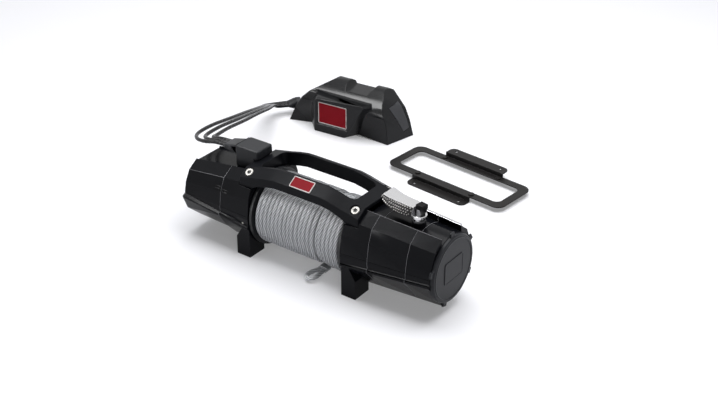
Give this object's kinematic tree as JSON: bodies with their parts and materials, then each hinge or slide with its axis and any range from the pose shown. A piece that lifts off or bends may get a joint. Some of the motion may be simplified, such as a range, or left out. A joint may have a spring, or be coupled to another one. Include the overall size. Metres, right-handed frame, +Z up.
{
  "type": "recovery winch",
  "caption": "Electric recovery winch with a rope drum between a motor and a planetary gear housing, a clutch lever, a control pack on leads and a mounting frame.",
  "frame": {"origin": "centre of the four mounting holes on the face of the feet", "axes": "+X along the drum to the gear and clutch end, +Z up from the mounting face, -Y the side where the rope leaves"},
  "size_m": [0.8033, 0.6475, 0.203],
  "materials": {
    "housing_black": "satin black textured paint",
    "cap_black": "satin dark grey",
    "zinc_steel": "bright zinc plate",
    "drum_black": "satin black",
    "wire_rope": "galvanised wire",
    "sleeve_metal": "pressed sleeve",
    "bronze": "sintered bronze",
    "gear_steel": "oiled steel",
    "shaft_steel": "ground steel",
    "motor_steel": "dark paint",
    "coil_copper": "copper",
    "carbon": "carbon",
    "moulded_inner": "moulded",
    "boot_rubber": "matt",
    "stud_brass": "plated",
    "lever_metal": "bright satin chrome",
    "mark_red": "gloss",
    "pack_black": "satin moulding",
    "panel_grey": "grained",
    "frame_black": "powder coat"
  },
  "bodies": {
    "root": {"motor_support": "housing_black", "gear_support": "housing_black", "motor_cover": "housing_black", "gear_case": "housing_black", "gear_end_case": "housing_black", "gear_end_cap": "cap_black", "tie_plate": "housing_black", "tie_plate_screws": "zinc_steel", "mounting_nuts": "zinc_steel", "drum_bushing_motor": "bronze", "drum_bushing_gear": "bronze", "ring_gear": "gear_steel", "tail_bearing": "shaft_steel", "motor_can": "motor_steel", "field_poles": "coil_copper", "front_bell": "motor_steel", "rear_bell": "motor_steel", "front_bearing": "shaft_steel", "rear_bearing": "shaft_steel", "brush_ring": "moulded_inner", "brushes": "carbon", "terminal_boot": "boot_rubber", "terminal_studs": "stud_brass", "rope_tail": "wire_rope", "rope_sleeve": "sleeve_metal", "lead_a": "boot_rubber", "lead_b": "boot_rubber", "lead_c": "boot_rubber", "pack_cover": "pack_black", "pack_base": "pack_black", "pack_end_panels": "panel_grey", "pack_contactor": "moulded_inner", "pack_grommet": "boot_rubber", "mounting_frame": "frame_black", "frame_screws": "frame_black"},
    "drum": {"drum": "drum_black", "rope_core": "wire_rope", "rope_winding": "wire_rope", "carrier_3": "gear_steel"},
    "second_stage": {"carrier_2": "gear_steel", "sun_3": "gear_steel"},
    "first_stage": {"carrier_1": "gear_steel", "sun_2": "gear_steel"},
    "shaft": {"drive_shaft": "shaft_steel", "sun_1": "gear_steel", "armature_core": "shaft_steel", "armature_windings": "coil_copper", "commutator": "coil_copper"},
    "lever": {"clutch_lever": "lever_metal", "lever_shaft": "zinc_steel", "lever_mark": "mark_red"},
    "planet_3a": {"planet_3a": "gear_steel"},
    "planet_3b": {"planet_3b": "gear_steel"},
    "planet_3c": {"planet_3c": "gear_steel"},
    "planet_2a": {"planet_2a": "gear_steel"},
    "planet_2b": {"planet_2b": "gear_steel"},
    "planet_2c": {"planet_2c": "gear_steel"},
    "planet_1a": {"planet_1a": "gear_steel"},
    "planet_1b": {"planet_1b": "gear_steel"},
    "planet_1c": {"planet_1c": "gear_steel"}
  },
  "joints": [
    {"name": "drum_spin", "type": "hinge", "parent": "root", "child": "drum", "pos_m": [0, 0, 0.086], "axis": [1, 0, 0], "continuous": true},
    {"name": "second_stage_spin", "type": "hinge", "parent": "root", "child": "second_stage", "pos_m": [0.2, 0, 0.086], "axis": [1, 0, 0], "continuous": true},
    {"name": "first_stage_spin", "type": "hinge", "parent": "root", "child": "first_stage", "pos_m": [0.24, 0, 0.086], "axis": [1, 0, 0], "continuous": true},
    {"name": "shaft_spin", "type": "hinge", "parent": "root", "child": "shaft", "pos_m": [0, 0, 0.086], "axis": [1, 0, 0], "continuous": true},
    {"name": "planet_3a_spin", "type": "hinge", "parent": "drum", "child": "planet_3a", "pos_m": [0.15, 0, 0.1166], "axis": [1, 0, 0], "continuous": true},
    {"name": "planet_3b_spin", "type": "hinge", "parent": "drum", "child": "planet_3b", "pos_m": [0.15, -0.0265, 0.0707], "axis": [1, 0, 0], "continuous": true},
    {"name": "planet_3c_spin", "type": "hinge", "parent": "drum", "child": "planet_3c", "pos_m": [0.15, 0.0265, 0.0707], "axis": [1, 0, 0], "continuous": true},
    {"name": "planet_2a_spin", "type": "hinge", "parent": "second_stage", "child": "planet_2a", "pos_m": [0.2, 0, 0.1166], "axis": [1, 0, 0], "continuous": true},
    {"name": "planet_2b_spin", "type": "hinge", "parent": "second_stage", "child": "planet_2b", "pos_m": [0.2, -0.0265, 0.0707], "axis": [1, 0, 0], "continuous": true},
    {"name": "planet_2c_spin", "type": "hinge", "parent": "second_stage", "child": "planet_2c", "pos_m": [0.2, 0.0265, 0.0707], "axis": [1, 0, 0], "continuous": true},
    {"name": "planet_1a_spin", "type": "hinge", "parent": "first_stage", "child": "planet_1a", "pos_m": [0.24, 0, 0.1166], "axis": [1, 0, 0], "continuous": true},
    {"name": "planet_1b_spin", "type": "hinge", "parent": "first_stage", "child": "planet_1b", "pos_m": [0.24, -0.0265, 0.0707], "axis": [1, 0, 0], "continuous": true},
    {"name": "planet_1c_spin", "type": "hinge", "parent": "first_stage", "child": "planet_1c", "pos_m": [0.24, 0.0265, 0.0707], "axis": [1, 0, 0], "continuous": true},
    {"name": "clutch_turn", "type": "hinge", "parent": "root", "child": "lever", "pos_m": [0.238, -0.009, 0.18], "axis": [0, 0, 1], "range_deg": [0, 90]}
  ],
  "couplings": [
    {"joint": "second_stage_spin", "follows": "drum_spin", "ratio": 6},
    {"joint": "first_stage_spin", "follows": "drum_spin", "ratio": 36},
    {"joint": "shaft_spin", "follows": "drum_spin", "ratio": 216},
    {"joint": "planet_3a_spin", "follows": "drum_spin", "ratio": -2.5},
    {"joint": "planet_3b_spin", "follows": "drum_spin", "ratio": -2.5},
    {"joint": "planet_3c_spin", "follows": "drum_spin", "ratio": -2.5},
    {"joint": "planet_2a_spin", "follows": "drum_spin", "ratio": -15},
    {"joint": "planet_2b_spin", "follows": "drum_spin", "ratio": -15},
    {"joint": "planet_2c_spin", "follows": "drum_spin", "ratio": -15},
    {"joint": "planet_1a_spin", "follows": "drum_spin", "ratio": -90},
    {"joint": "planet_1b_spin", "follows": "drum_spin", "ratio": -90},
    {"joint": "planet_1c_spin", "follows": "drum_spin", "ratio": -90}
  ]
}
